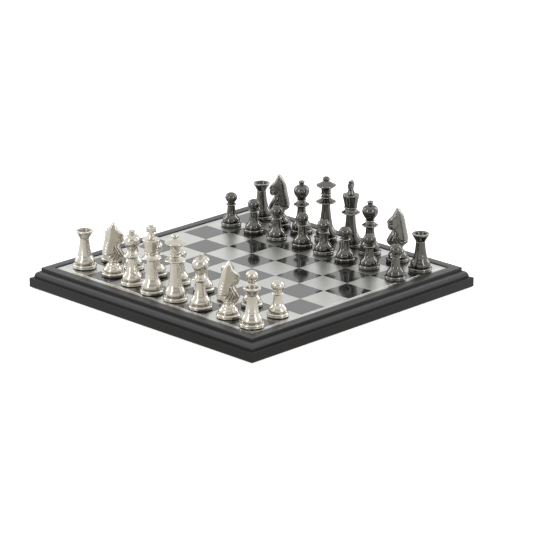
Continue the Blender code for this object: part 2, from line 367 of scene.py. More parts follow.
def cast_metal(name, polished, tarnished, hollow_shade, edge, shade_below, roughness):
    """Polished plated casting: smudged sheen, painted shade in hollows, rubbed edges with a painted
    highlight and fine turning lines.

    Painted shade starts below a given value of the wear attribute; roughness is a pair, smallest and
    largest.
    """
    material, nodes, shader = new_material(name, Metallic=1.0)
    where = own_coordinates(nodes)
    wear_and_painted_light = nodes.wear_and_painted_light()
    patches = nodes.noise(where, 70.0, 5.0, 0.6)
    clouds = nodes.noise(where, 260.0, 6.0, 0.65)
    base = nodes.mix(nodes.ramp(patches, 0.38, 0.66), polished, tarnished)
    # painted shade: a darker colour where the profile turns inwards, inside cups and on the knights' flat
    # sides
    base = nodes.mix(nodes.ramp(wear_and_painted_light, shade_below, shade_below - 0.24, 0.0, 0.85), base, hollow_shade)
    # rubbed plating with a painted highlight: a lighter colour where the profile turns outwards and on
    # raised carving
    base = nodes.mix(nodes.ramp(wear_and_painted_light, 0.58, 0.90, 0.0, 0.7), base, edge)
    nodes.link(base, shader.inputs["Base Color"])
    rough = nodes.ramp(clouds, 0.35, 0.72, *roughness)
    rough = nodes.math("ADD", rough, nodes.ramp(wear_and_painted_light, 0.45, 0.15, 0.0, 0.12))
    nodes.link(rough, shader.inputs["Roughness"])
    waves = nodes.noise(where, 95.0, 2.0, 0.45)
    lines = nodes.noise(where, 40.0, 3.0, 0.6, (1.0, 1.0, 60.0))
    normal = nodes.bump(waves, 0.15, 0.0006)
    normal = nodes.bump(lines, 0.08, 0.00012, normal)
    nodes.link(normal, shader.inputs["Normal"])
    return material


def felt_material(name, light, dark):
    material, nodes, shader = new_material(name, Roughness=0.95, Sheen_Weight=0.25)
    where = own_coordinates(nodes)
    fibres = nodes.noise(where, 1800.0, 6.0, 0.7)
    tufts = nodes.noise(where, 320.0, 4.0, 0.6)
    nodes.link(nodes.mix(nodes.ramp(tufts, 0.35, 0.68), light, dark), shader.inputs["Base Color"])
    nodes.link(nodes.bump(fibres, 0.5, 0.0003), shader.inputs["Normal"])
    return material


def frame_material():
    """Satin black paint over smooth wood: fine orange peel, faint grain, rubbed edges, and a painted
    highlight on the rails' top and the crown of the ovolo.
    """
    material, nodes, shader = new_material("frame_black_satin", Specular_IOR_Level=0.32)
    where = own_coordinates(nodes)
    wear_and_painted_light = nodes.wear_and_painted_light()
    grain = nodes.noise(where, 55.0, 5.0, 0.6, (0.18, 3.0, 3.0))
    peel = nodes.noise(where, 900.0, 3.0, 0.5)
    patches = nodes.noise(where, 24.0, 4.0, 0.6)
    base = nodes.mix(nodes.ramp(patches, 0.3, 0.7), (0.006, 0.006, 0.007), (0.009, 0.009, 0.010))
    # lighter paint: painted highlight on the rails' top and ovolo crown, rubbed paint along the top's outer
    # edge
    base = nodes.mix(nodes.ramp(wear_and_painted_light, PLAIN_WEAR, 1.0), base, (0.105, 0.105, 0.108))
    nodes.link(base, shader.inputs["Base Color"])
    nodes.link(nodes.ramp(grain, 0.3, 0.7, 0.30, 0.38), shader.inputs["Roughness"])
    normal = nodes.bump(grain, 0.10, 0.0003)
    normal = nodes.bump(peel, 0.10, 0.0001, normal)
    nodes.link(normal, shader.inputs["Normal"])
    return material


def plate_material():
    """Brushed aluminium: long fine lines in one direction, and faint handling marks."""
    material, nodes, shader = new_material("plate_brushed", Metallic=1.0)
    where = nodes.coordinates()
    lines = nodes.noise(where, 420.0, 5.0, 0.6, (0.02, 4.0, 1.0))
    broad = nodes.noise(where, 60.0, 4.0, 0.55, (0.06, 2.0, 1.0))
    marks = nodes.noise(where, 34.0, 5.0, 0.6)
    base = nodes.mix(nodes.ramp(lines, 0.3, 0.7), (0.635, 0.64, 0.615), (0.665, 0.67, 0.645))
    base = nodes.mix(nodes.ramp(broad, 0.35, 0.7, 0.0, 0.35), base, (0.615, 0.62, 0.60))
    nodes.link(base, shader.inputs["Base Color"])
    rough = nodes.ramp(lines, 0.3, 0.7, 0.28, 0.34)
    rough = nodes.math("ADD", rough, nodes.ramp(marks, 0.4, 0.7, 0.0, 0.04))
    nodes.link(rough, shader.inputs["Roughness"])
    nodes.link(nodes.bump(lines, 0.015, 0.00005), shader.inputs["Normal"])
    return material


def enamel_material():
    """Glossy black enamel with a little orange peel and fine wiping marks."""
    material, nodes, shader = new_material("square_enamel", IOR=1.95)
    where = nodes.coordinates()
    clouds = nodes.noise(where, 40.0, 5.0, 0.6)
    peel = nodes.noise(where, 330.0, 2.0, 0.5)
    base = nodes.mix(nodes.ramp(clouds, 0.3, 0.7), (0.012, 0.012, 0.013), (0.020, 0.020, 0.021))
    nodes.link(base, shader.inputs["Base Color"])
    nodes.link(nodes.ramp(clouds, 0.35, 0.7, 0.045, 0.10), shader.inputs["Roughness"])
    nodes.link(nodes.bump(peel, 0.06, 0.00008), shader.inputs["Normal"])
    return material


def panel_material():
    """Brown fibre board."""
    material, nodes, shader = new_material("panel_fibre", Roughness=0.85)
    where = nodes.coordinates()
    fibres = nodes.noise(where, 700.0, 6.0, 0.7, (1.0, 1.0, 3.0))
    base = nodes.mix(nodes.ramp(fibres, 0.3, 0.7), (0.20, 0.12, 0.07), (0.34, 0.23, 0.14))
    nodes.link(base, shader.inputs["Base Color"])
    nodes.link(nodes.bump(fibres, 0.4, 0.0002), shader.inputs["Normal"])
    return material


# the hollow colour is painted shade; the edge colour is rubbed plating with a painted highlight, far
# lighter than the dark nickel itself
SILVER = cast_metal(
    "silver_plated", polished=(0.705, 0.675, 0.61), tarnished=(0.60, 0.567, 0.50),
    hollow_shade=(0.30, 0.27, 0.22), edge=(0.78, 0.76, 0.70), shade_below=0.42, roughness=(0.20, 0.29))
DARK = cast_metal(
    "dark_nickel_plated", polished=(0.174, 0.170, 0.160), tarnished=(0.132, 0.128, 0.119),
    hollow_shade=(0.052, 0.050, 0.046), edge=(0.72, 0.71, 0.68), shade_below=0.27, roughness=(0.05, 0.10))
# the dark knights' heads are a little duller than the turned pieces, and their colour is painted lighter to
# stand for the light their flat sides catch
DARK_SATIN_LIT = cast_metal(
    "dark_nickel_satin_lit", polished=(0.265, 0.260, 0.248), tarnished=(0.215, 0.210, 0.198),
    hollow_shade=(0.080, 0.077, 0.071), edge=(0.74, 0.73, 0.70), shade_below=0.27, roughness=(0.15, 0.22))
FELT = felt_material("felt_black_wool", (0.016, 0.016, 0.016), (0.006, 0.006, 0.006))
FRAME = frame_material()
PLATE = plate_material()
ENAMEL = enamel_material()
PANEL = panel_material()


# ---------------------------------------------------------------- chessmen: profiles, in squares
def lower_part(kind, stem, shoulder, top):
    """The swelling below the stem, and the foot."""
    return bell(stem, shoulder, top) + foot(shoulder, FEET[kind])


def pawn_profile():
    ball = arc((0.0, 0.915), (0.193, 0.165), 90, -49, 26)
    neck = [(0.119, 0.770), (0.119, 0.716)] + bead(0.690, 0.170, 0.018, 0.130)
    stem = bezier((0.123, 0.662), (0.124, 0.60), (0.130, 0.50), (0.147, 0.41), 6)
    return ball + neck + stem + lower_part("pawn", 0.147, 0.270, 0.41)


def rook_profile():
    bowl = bezier((0.0, 0.985), (0.090, 0.985), (0.150, 1.03), (0.166, 1.140), 8)
    lip = [(0.176, 1.170, 0.016), (0.256, 1.174, 0.014), (0.262, 1.146, 0.010)]
    cup = bezier((0.255, 1.122), (0.225, 1.068), (0.180, 0.990), (0.150, 0.940), 8)
    ring = bead(0.915, 0.151, 0.006, 0.145, 5)
    stem = bezier((0.145, 0.895), (0.150, 0.78), (0.160, 0.62), (0.208, 0.443), 10)
    return rounded(bowl + lip + cup, 0.0) + ring + stem + lower_part("rook", 0.208, 0.305, 0.443)


def bishop_profile():
    finial = [(0.0, 1.672), (0.070, 1.668), (0.098, 1.656), (0.101, 1.636), (0.080, 1.590), (0.077, 1.548)]
    head = bezier((0.080, 1.540), (0.235, 1.500), (0.275, 1.370), (0.230, 1.260), 12)
    head += bezier((0.225, 1.250), (0.200, 1.180), (0.140, 1.130), (0.122, 1.068), 8)
    ring = bead(1.045, 0.150, 0.016, 0.124)
    collar = bezier((0.130, 1.020), (0.145, 0.980), (0.200, 0.945), (0.246, 0.916), 6)
    collar += [(0.253, 0.902), (0.246, 0.886)]
    collar += bezier((0.235, 0.880), (0.190, 0.865), (0.145, 0.845), (0.130, 0.805), 6)
    stem = bezier((0.130, 0.795), (0.134, 0.68), (0.145, 0.56), (0.190, 0.450), 8)
    lower = lower_part("bishop", 0.190, 0.300, 0.45)
    return rounded(finial, 0.012) + head + ring + collar + stem + lower


def queen_profile():
    finial = arc((0.0, 1.950), (0.116, 0.084), 90, -38, 14)
    coronet = bezier((0.098, 1.888), (0.140, 1.850), (0.225, 1.802), (0.305, 1.766), 8)
    coronet += [(0.309, 1.752), (0.302, 1.738)]
    coronet += bezier((0.290, 1.725), (0.225, 1.690), (0.160, 1.650), (0.148, 1.590), 8)
    neck = [(0.144, 1.515)] + bead(1.476, 0.170, 0.020, 0.146)
    neck += [(0.144, 1.425)] + bead(1.372, 0.174, 0.018, 0.146)
    collar = bezier((0.140, 1.345), (0.180, 1.300), (0.260, 1.262), (0.304, 1.240), 6)
    collar += [(0.312, 1.226), (0.304, 1.210)]
    collar += bezier((0.290, 1.204), (0.220, 1.190), (0.140, 1.180), (0.127, 1.145), 6)
    stem = bezier((0.128, 1.135), (0.140, 0.95), (0.165, 0.72), (0.205, 0.505), 12)
    return finial + coronet + neck + collar + stem + lower_part("queen", 0.205, 0.312, 0.505)


def king_profile():
    finial = [(0.0, 1.868), (0.068, 1.866), (0.086, 1.852), (0.088, 1.834), (0.078, 1.822), (0.080, 1.812)]
    cone = [(0.092, 1.792), (0.104, 1.750), (0.116, 1.706), (0.126, 1.684)]
    crown = bezier((0.140, 1.682), (0.185, 1.678), (0.230, 1.672), (0.252, 1.662), 5)
    crown += [(0.262, 1.646), (0.260, 1.625)]
    crown += bezier((0.255, 1.600), (0.235, 1.500), (0.205, 1.400), (0.198, 1.292), 8)
    beads = bead(1.250, 0.210, 0.026, 0.186) + [(0.172, 1.215)]
    collar = bezier((0.172, 1.198), (0.190, 1.150), (0.255, 1.115), (0.283, 1.098), 6)
    collar += [(0.290, 1.085), (0.283, 1.070)]
    collar += bezier((0.270, 1.064), (0.210, 1.055), (0.155, 1.040), (0.146, 1.005), 6)
    stem = bezier((0.146, 0.995), (0.152, 0.85), (0.165, 0.66), (0.198, 0.505), 12)
    lower = lower_part("king", 0.198, 0.312, 0.505)
    return rounded(finial + cone, 0.008) + crown + beads + collar + stem + lower


def knight_base_profile():
    seat = [(0.0, 0.486), (0.150, 0.486, 0.01), (0.158, 0.470, 0.01), (0.156, 0.420)]
    flare = bezier((0.156, 0.410), (0.158, 0.38), (0.180, 0.35), (0.215, 0.328), 6)
    return rounded(seat, 0.0) + flare + lower_part("knight", 0.215, 0.290, 0.328)


PROFILES = {"pawn": pawn_profile, "rook": rook_profile, "bishop": bishop_profile, "queen": queen_profile,
            "king": king_profile, "knight": knight_base_profile}


def clean_profile(profile):
    """The profile without repeated points."""
    out = [profile[0][:2]]
    for point in profile[1:]:
        if (Vector(point[:2]) - Vector(out[-1])).length > SAME_POINT:
            out.append(point[:2])
    return out


def felt_profile(radius):
    """A felt disc with softened edges under a foot of this radius."""
    edge = radius - FELT_INSET
    top = FELT_HEIGHT - 0.002
    upper = [(0.0, top), (edge - 0.004, top), (edge, top - 0.006)]
    return upper + [(edge, 0.006 - FELT_DROP), (edge - 0.005, -FELT_DROP), (0.0, -FELT_DROP)]


# ---------------------------------------------------------------- cast shapes cut from a slab
def slab_mesh(name, outline, half_thickness, voxel):
    """A slab on an outline (x, z), in squares, remeshed into small even faces."""
    bm = bmesh.new()
    half = half_thickness * SQUARE
    front = [bm.verts.new((x * SQUARE, -half, z * SQUARE)) for x, z in outline]
    back = [bm.verts.new((x * SQUARE, half, z * SQUARE)) for x, z in outline]
    bm.faces.new(front)
    bm.faces.new(back[::-1])
    bridge(bm, front, back)
    bmesh.ops.recalc_face_normals(bm, faces=bm.faces)
    slab = object_from_bmesh(name + "_slab", bm, SILVER)
    remesh = slab.modifiers.new("remesh", "REMESH")
    remesh.mode = "VOXEL"
    remesh.voxel_size = voxel
    bpy.context.view_layer.update()
    mesh = bpy.data.meshes.new_from_object(slab.evaluated_get(bpy.context.evaluated_depsgraph_get()))
    mesh.name = name
    bpy.data.objects.remove(slab, do_unlink=True)
    return mesh


def distance_to(points, line):
    """Distance of each point (n, 2) from an open line."""
    line = np.asarray(line, float)
    best = np.full(len(points), 9.0)
    for a, b in zip(line[:-1], line[1:]):
        d = b - a
        t = np.clip(((points - a) @ d) / max(d @ d, 1e-12), 0.0, 1.0)
        best = np.minimum(best, np.linalg.norm(points - (a + t[:, None] * d), axis=1))
    return best


def crowned(depth, rim):
    """Share of the full thickness: rim at the outline, rising to 1 at a depth of 1."""
    depth = np.clip(depth, 0.0, 1.0)
    return rim + (1.0 - rim) * np.sqrt(1.0 - (1.0 - depth) ** 2)


def smooth_mesh(mesh, times):
    """Evens out the voxel steps and softens the edges."""
    bm = bmesh.new()
    bm.from_mesh(mesh)
    for _ in range(times):
        bmesh.ops.smooth_vert(
            bm, verts=bm.verts, factor=0.5, use_axis_x=True, use_axis_y=True, use_axis_z=True)
    bm.to_mesh(mesh)
    bm.free()


# ---------------------------------------------------------------- king's cross, in squares
CROSS_HALF = 0.148                    # from the centre to the tip of an arm
CROSS_THICKNESS = 0.172
CROSS_CENTRE = 1.945                  # height above the foot
CROSS_VOXEL = 0.00020                 # in metres
CROSS_ROUNDING = 0.070                # how far in from the outline the edges are rounded
CROSS_RIM = 0.42                      # share of the thickness that is left at the outline
CROSS_SMOOTHING = 16                  # passes
CROSS_WEAR = 0.60


def cross_mesh():
    """The king's cross: four flared arms, cast with well rounded edges."""
    tip, flare, root = CROSS_HALF, 0.80 * CROSS_HALF, 0.46 * CROSS_HALF
    arm = bezier((root, root), (0.65 * tip, 0.95 * root), (0.82 * tip, root), (tip, flare), 5)
    arm += bezier((tip, -flare), (0.82 * tip, -root), (0.65 * tip, -0.95 * root), (root, -root), 5)[:-1]
    outline = []
    for turn in range(4):
        angle = -turn * pi / 2
        outline += [(x * cos(angle) - z * sin(angle), CROSS_CENTRE + x * sin(angle) + z * cos(angle))
                    for x, z in arm]
    mesh = slab_mesh("king_cross", outline, CROSS_THICKNESS / 2, CROSS_VOXEL)
    points = get_points(mesh)
    inside = distance_to(points[:, (0, 2)] / SQUARE, outline + outline[:1])
    points[:, 1] *= crowned(inside / CROSS_ROUNDING, CROSS_RIM)
    set_points(mesh, points)
    smooth_mesh(mesh, CROSS_SMOOTHING)
    set_attribute(mesh, "wear_and_painted_light", [CROSS_WEAR] * len(mesh.vertices))
    return mesh


# ---------------------------------------------------------------- knight's head, in squares
HEAD_HALF_THICKNESS = 0.150
HEAD_TAPER = 0.30                     # share of the thickness lost from bottom to ears
HEAD_BOTTOM = 0.478
HEAD_RISE = 1.21                      # height over which the head tapers
HEAD_VOXEL = 0.00028                  # in metres
HEAD_SMOOTHING = 3                    # passes
EDGE_ROUND = 0.052                    # how far in from the outline the edges are rounded
HEAD_RIM = 0.66                       # share of the thickness that is left at the outline

# the outline, from the ears down the face and the chest, then from the bottom up the mane
FACE = [(0.035, 1.682), (0.062, 1.625), (0.098, 1.555), (0.140, 1.475), (0.160, 1.425), (0.200, 1.392),
        (0.252, 1.345), (0.300, 1.296), (0.329, 1.252), (0.333, 1.205), (0.318, 1.178), (0.290, 1.172),
        (0.318, 1.150), (0.322, 1.105), (0.306, 1.055), (0.272, 1.015), (0.228, 0.998), (0.182, 1.008),
        (0.145, 1.018), (0.150, 0.985)]
CHEST = [(0.180, 0.930), (0.225, 0.850), (0.276, 0.760), (0.318, 0.685), (0.338, 0.640), (0.326, 0.595),
         (0.285, 0.548), (0.225, 0.508), (0.165, HEAD_BOTTOM)]
MANE = [(-0.150, HEAD_BOTTOM), (-0.190, 0.530), (-0.245, 0.562), (-0.296, 0.605), (-0.322, 0.672),
        (-0.320, 0.750), (-0.308, 0.830), (-0.292, 0.905), (-0.274, 0.985), (-0.255, 1.075),
        (-0.238, 1.165), (-0.222, 1.250), (-0.198, 1.345), (-0.165, 1.440), (-0.122, 1.532),
        (-0.072, 1.612), (-0.012, 1.672)]


def step(x, low, high):
    """A smooth step from 0 at low to 1 at high."""
    t = np.clip((x - low) / (high - low), 0.0, 1.0)
    return t * t * (3 - 2 * t)


def ridge(distance, width):
    """A rounded ridge of that half-width round distance 0."""
    return step(distance, width, 0.0)


def mane_border(z):
    """Width of the mane, measured in from the back, at each height."""
    notch = 0.003 * np.sin(2 * pi * z / 0.094) * step(z, 1.42, 1.30) * step(z, 0.72, 0.80)
    return 0.172 - 0.085 * step(z, 1.25, 1.60) + notch


def mane_slope(points):
    """How far the mane falls from its crease towards the back."""
    slope = np.clip(1.0 - distance_to(points, MANE) / mane_border(points[:, 1]), 0.0, 1.0)
    return 0.088 * slope ** 1.7 * step(points[:, 1], 0.60, 0.66)


def mane_strands(points):
    """Faint strands across the mane."""
    z = points[:, 1]
    from_mane = distance_to(points, MANE)
    strands = np.sin(2 * pi * (z * 11.0 + from_mane * 9.0))
    on_mane = step(z, 0.60, 0.66) * step(z, 1.67, 1.56)
    return 0.0040 * strands * step(from_mane, 0.150, 0.09) * step(z, 1.20, 0.95) * on_mane


def face_relief(points):
    """Ear and brow, eye and the hollow behind it, muzzle, mouth, nostril and jaw."""
    x, z = points[:, 0], points[:, 1]
    ear = distance_to(points, [(0.016, 1.640), (0.004, 1.560), (0.010, 1.480)])
    brow = distance_to(points, [(0.075, 1.480), (0.125, 1.410), (0.180, 1.365)])
    eye = np.hypot(x - 0.092, (z - 1.392) * 1.3)
    temple = np.hypot(x + 0.012, (z - 1.450) * 0.7)
    mouth = distance_to(points, [(0.300, 1.170), (0.245, 1.160), (0.200, 1.175)])
    nostril = distance_to(points, [(0.298, 1.240), (0.280, 1.222)])
    jaw = distance_to(points, bezier((0.020, 1.165), (0.030, 1.080), (0.085, 1.035), (0.170, 1.035), 8))
    relief = 0.012 * ridge(brow, 0.024) - 0.014 * ridge(ear, 0.016)
    relief += 0.014 * ridge(eye, 0.022) - 0.014 * ridge(np.abs(eye - 0.034), 0.011)
    relief -= 0.018 * ridge(temple, 0.018)
    relief -= 0.026 * step(x, 0.185, 0.255) * step(z, 1.36, 1.28)
    relief -= 0.030 * ridge(mouth, 0.018)
    relief -= 0.022 * ridge(nostril, 0.015)
    return relief - 0.010 * ridge(jaw, 0.018)


def neck_relief(points):
    """The S-shaped step that ends the neck, from the throat to the back, and the painted highlight along
    its edge.
    """
    x, z = points[:, 0], points[:, 1]
    edge = bezier((0.112, 1.005), (-0.020, 0.930), (0.080, 0.760), (-0.050, 0.705), 12)
    edge += bezier((-0.050, 0.705), (-0.130, 0.672), (-0.220, 0.668), (-0.360, 0.640), 8)[1:]
    edge_x = np.interp(z, [point[1] for point in edge[::-1]], [point[0] for point in edge[::-1]])
    beyond_edge = step(x, edge_x - 0.012, edge_x + 0.012) * step(z, 1.02, 0.96)
    below = np.where(z < edge[-1][1], 1.0, beyond_edge)
    highlit = ridge(distance_to(points, edge), 0.026)
    return 0.012 * highlit - 0.046 * below, highlit


def chest_relief(points):
    """Two thin raised lines down the front, three locks that sweep back, and the painted highlight on the
    lines.
    """
    z = points[:, 1]
    from_chest = distance_to(points, CHEST[:6])
    relief = np.zeros(len(points))
    highlit = np.zeros(len(points))
    for inset, width in ((0.034, 0.028), (0.098, 0.026)):
        line = ridge(np.abs(from_chest - inset), width) * step(z, 0.97, 0.90) * step(z, 0.60, 0.66)
        relief += 0.050 * line
        highlit = np.maximum(highlit, line)
    for start, middle, end, width in (((0.175, 0.700), (0.150, 0.620), (0.090, 0.500), 0.028),
                                      ((0.110, 0.740), (0.080, 0.650), (0.000, 0.520), 0.028),
                                      ((0.050, 0.760), (0.010, 0.690), (-0.090, 0.580), 0.024)):
        lock = bezier(start, middle, middle, end, 8)
        relief += 0.036 * ridge(distance_to(points, lock), width)
    return relief, highlit


def knight_relief(points):
    """How far the carved side stands out from the flat side at each point (x, z), and its value of wear and
    painted light.
    """
    neck, highlit_neck = neck_relief(points)
    chest, highlit_chest = chest_relief(points)
    relief = mane_strands(points) + face_relief(points) + neck + chest
    highlit = np.maximum(highlit_neck, highlit_chest)
    mane_share = distance_to(points, MANE) / mane_border(points[:, 1])
    # painted light: the flat side darker as painted shade and the mane lighter; raised carving lighter and
    # cut-back parts darker; a painted highlight on the chest lines and the neck's edge
    side_and_mane_painted_light = 0.28 + 0.36 * step(mane_share, 1.0, 0.6)
    return relief, side_and_mane_painted_light + 2.8 * relief + 0.68 * highlit


def knight_head_mesh():
    """The head: a slab on the outline, remeshed finely, rounded at its edges and carved on both sides."""
    outline = FACE + CHEST + MANE
    mesh = slab_mesh("knight_head", outline, HEAD_HALF_THICKNESS, HEAD_VOXEL)
    points = get_points(mesh)
    flat = points[:, (0, 2)] / SQUARE
    x, z = flat[:, 0], flat[:, 1]
    inside = distance_to(flat, outline + outline[:1])
    rise = np.clip((z - HEAD_BOTTOM) / HEAD_RISE, 0.0, 1.0)
    thick = HEAD_HALF_THICKNESS * (1.0 - HEAD_TAPER * rise)
    # the muzzle is thinner than the rest
    thick *= 1.0 - 0.30 * step(x, 0.16, 0.34) * step(z, 0.98, 1.05)
    relief, wear_and_painted_light = knight_relief(flat)
    height = thick * crowned(inside / EDGE_ROUND, HEAD_RIM) - mane_slope(flat)
    height += relief * step(inside, 0.004, 0.040)
    points[:, 1] *= height / HEAD_HALF_THICKNESS
    set_points(mesh, points)
    smooth_mesh(mesh, HEAD_SMOOTHING)
    # a painted highlight along the outline of the head
    set_attribute(mesh, "wear_and_painted_light", np.clip(wear_and_painted_light + 0.10 * step(inside, 0.05, 0.0), 0.0, 1.0))
    return mesh


# ---------------------------------------------------------------- board
# section of a rail: heights above its underside, insets from its outer face
PLINTH_HEIGHT = 0.0092
LEDGE_INSET = 0.0030                  # where the ledge meets the ovolo
OVOLO_CENTRE = (0.0078, 0.0104)
OVOLO_RADII = (0.0044, 0.0055)
FILLET_INSET = 0.0083
FILLET_FOOT = 0.0159
REBATE_HEIGHT = 0.0068                # where the core panel rests
REBATE_INSET = RAIL_WIDTH + 0.0039
RAIL_STATIONS = 49                    # cross sections along a rail

# values that lighten the paint: a painted highlight on the top and on the crown of the ovolo, with rubbed
# paint as well along the top's outer edge
TOP_EDGE_WEAR_AND_HIGHLIGHT = 0.75
TOP_HIGHLIGHT = 0.58
OVOLO_HIGHLIGHT = 0.70

GROOVE_HALF_WIDTH = 0.00022           # the engraved line round the field of squares
GROOVE_DEPTH = 0.00018
GROOVE_OFFSET = 0.00055               # from the field to the middle of that line


def rail_profile():
    """Inset from the outer face and height above the rail's underside; a third value is a corner radius."""
    top = RAIL_HEIGHT
    inner = RAIL_WIDTH - 0.0001
    plinth = [(0.0005, 0.0), (0.0, 0.0005, 0.0003), (0.0, PLINTH_HEIGHT - 0.0010),
              (0.0, PLINTH_HEIGHT, 0.0004), (LEDGE_INSET, 0.0096, 0.0003)]
    ovolo_foot = [(0.0033, 0.0097)]
    ovolo = arc(OVOLO_CENTRE, OVOLO_RADII, 180, 90, 18)
    fillet = [(FILLET_INSET, FILLET_FOOT, 0.0003), (FILLET_INSET, FILLET_FOOT + 0.0006),
              (FILLET_INSET, top - 0.0009), (FILLET_INSET, top, 0.0005)]
    lip = [(inner, top, 0.0005), (inner, 0.0070)]
    upper = rounded([ovolo[-1]] + fillet + lip, 0.0, 4)[1:]
    rebate = [(REBATE_INSET, REBATE_HEIGHT), (REBATE_INSET, 0.0)]
    return rounded(plinth, 0.0, 4)[:-1] + ovolo_foot + ovolo + upper + rebate


def rail_wear_and_painted_light(inset, height):
    """The top and the crown of the ovolo are painted lighter as a painted highlight, the top's outer edge
    most, where the paint is rubbed as well.
    """
    on_top = height > RAIL_HEIGHT - 0.0008
    on_edge = 0.0081 < inset < 0.0090
    on_ovolo = 0.0034 < inset < 0.0079 and height > 0.0115
    if on_top:
        return TOP_EDGE_WEAR_AND_HIGHLIGHT if on_edge else TOP_HIGHLIGHT
    return OVOLO_HIGHLIGHT if on_ovolo else PLAIN_WEAR


def rail_mesh():
    """The front rail, mitred at both ends."""
    section = rail_profile()
    bm = bmesh.new()
    rings = []
    for station in range(RAIL_STATIONS):
        share = -1.0 + 2.0 * station / (RAIL_STATIONS - 1)
        ring = []
        for inset, height in section:
            length = share * (FRAME_HALF - inset - MITRE_GAP)
            ring.append(bm.verts.new((length, inset - FRAME_HALF, height)))
        rings.append(ring)
    for left, right in zip(rings, rings[1:]):
        bridge(bm, left, right)
    bm.faces.new(rings[0])
    bm.faces.new(rings[-1][::-1])
    bmesh.ops.recalc_face_normals(bm, faces=bm.faces)
    mesh = bpy.data.meshes.new("frame_rail_detail")
    bm.to_mesh(mesh)
    bm.free()
    set_attribute(mesh, "wear_and_painted_light", [rail_wear_and_painted_light(v.co.y + FRAME_HALF, v.co.z) for v in mesh.vertices])
    return mesh


def add_rails():
    """One rail, turned to the four sides."""
    mesh = rail_mesh()
    for index, side in enumerate(("front", "right", "back", "left")):
        node = "rail_" + side
        rail = object_from_mesh(node + "_satin", mesh, FRAME, TURNED_SMOOTH)
        rail.location.z = RAIL_LOW.z
        rail.rotation_euler.z = index * pi / 2
        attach(rail, "board")
        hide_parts(node)


def plate_mesh():
    """The plate with rounded edges and a fine engraved line round the field of squares."""
    half = WELL_HALF - PLATE_CLEARANCE
    top, low = PLATE_HIGH.z, PLATE_LOW.z
    groove = SQUARES / 2 * SQUARE + GROOVE_OFFSET
    edge = [(half - 0.0004, low), (half, low + 0.0003), (half, top - 0.0003),
            (half - 0.00008, top - 0.0001), (half - 0.0003, top)]
    line = [(groove + GROOVE_HALF_WIDTH, top), (groove, top - GROOVE_DEPTH),
            (groove - GROOVE_HALF_WIDTH, top)]
    bm = bmesh.new()
    add_stacked_squares(bm, 0.0, 0.0, edge + line)
    return bm


def enamel_mesh():
    """32 thin enamelled squares with softened edges, lying on the plate."""
    top = PLATE_HIGH.z + ENAMEL_THICKNESS
    half = SQUARE / 2 - ENAMEL_EDGE / 2
    layers = [(half, PLATE_HIGH.z - 0.00005), (half, top - 0.00004), (half - 0.00006, top)]
    middle = (SQUARES - 1) / 2
    bm = bmesh.new()
    for column in range(SQUARES):
        for row in range(SQUARES):
            if (column + row) % 2 == 1:
                add_stacked_squares(bm, (column - middle) * SQUARE, (row - middle) * SQUARE, layers)
    return bm


def add_plate():
    plate = object_from_bmesh("playing_plate_brushed", plate_mesh(), PLATE)
    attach(plate, "board")
    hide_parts("playing_plate")
    enamel = object_from_bmesh("dark_squares_enamel", enamel_mesh(), ENAMEL)
    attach(enamel, "board")


def base_centre(node):
    """The middle of a CAD node's underside."""
    low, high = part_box(node)
    return (low.x + high.x) / 2, (low.y + high.y) / 2, low.z


def add_feet():
    for index in range(4):
        node = "foot_pad_%d" % (index + 1)
        low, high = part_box(node)
        radius = (high.x - low.x) / 2 / SQUARE
        top = (high.z - low.z) / SQUARE
        upper = [(0.0, top), (radius - 0.006, top), (radius, top - 0.005)]
        profile = upper + [(radius, 0.006), (radius - 0.008, 0.0), (0.0, 0.0)]
        pad = object_from_mesh(node + "_felt", turned_mesh(node, profile, FELT_SEGMENTS), FELT, FELT_SMOOTH)
        pad.location = base_centre(node)
        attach(pad, "board")
        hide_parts(node)


def finish_hidden_nodes():
    """The core panel and the backing sheet keep their CAD shape, with a detailed material."""
    for node, material in (("core_panel", PANEL), ("backing_sheet", FELT)):
        for slot in frame["nodes"][node].material_slots:
            slot.material = material


# ---------------------------------------------------------------- placing the chessmen
# turns about the vertical, in degrees
KNIGHT_TURNS = {"silver_knight_b": 45, "silver_knight_g": 38, "dark_knight_b": 225, "dark_knight_g": 232}
CROSS_TURNS = {"silver_king": 45, "dark_king": 115}


def add_piece(name, mesh, material, smooth_angle, body, place, turn=0.0):
    """One visible piece of a chessman, turned by so many degrees and lifted with its body."""
    piece = object_from_mesh(name, mesh, material, smooth_angle)
    piece.location = place
    piece.rotation_euler.z = radians(turn)
    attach(piece, body)
    return piece


def add_side(side, metal, head_metal, turned, felts, head, cross):
    """All chessmen of one side, on copies of the shared meshes that carry the side's own metal."""
    turned = {kind: mesh.copy() for kind, mesh in turned.items()}
    head = head.copy()
    cross = cross.copy()
    for body in sorted(frame["bodies"]):
        if not body.startswith(side):
            continue
        kind = body.split("_")[1]
        node = body + "_base" if kind == "knight" else body
        place = base_centre(node)
        cast = add_piece(node + "_cast", turned[kind], metal, TURNED_SMOOTH, body, place)
        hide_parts(node)
        add_piece(body + "_felt", felts[kind], FELT, FELT_SMOOTH, body, place)
        if kind == "knight":
            carved = add_piece(
                body + "_head_cast", head, head_metal, CARVED_SMOOTH, body, place, KNIGHT_TURNS[body])
            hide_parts(body + "_head")
        if kind == "king":
            add_piece(
                body + "_cross", cross, metal, TURNED_SMOOTH, body, place, CROSS_TURNS[body])


def add_chessmen():
    """Both sides; every piece stands where its CAD node stands."""
    turned = {kind: turned_mesh(kind, clean_profile(make())) for kind, make in PROFILES.items()}
    felts = {kind: turned_mesh(kind + "_felt", felt_profile(radius), FELT_SEGMENTS)
             for kind, radius in FEET.items()}
    head = knight_head_mesh()
    cross = cross_mesh()
    add_side("silver", SILVER, SILVER, turned, felts, head, cross)
    add_side("dark", DARK, DARK_SATIN_LIT, turned, felts, head, cross)


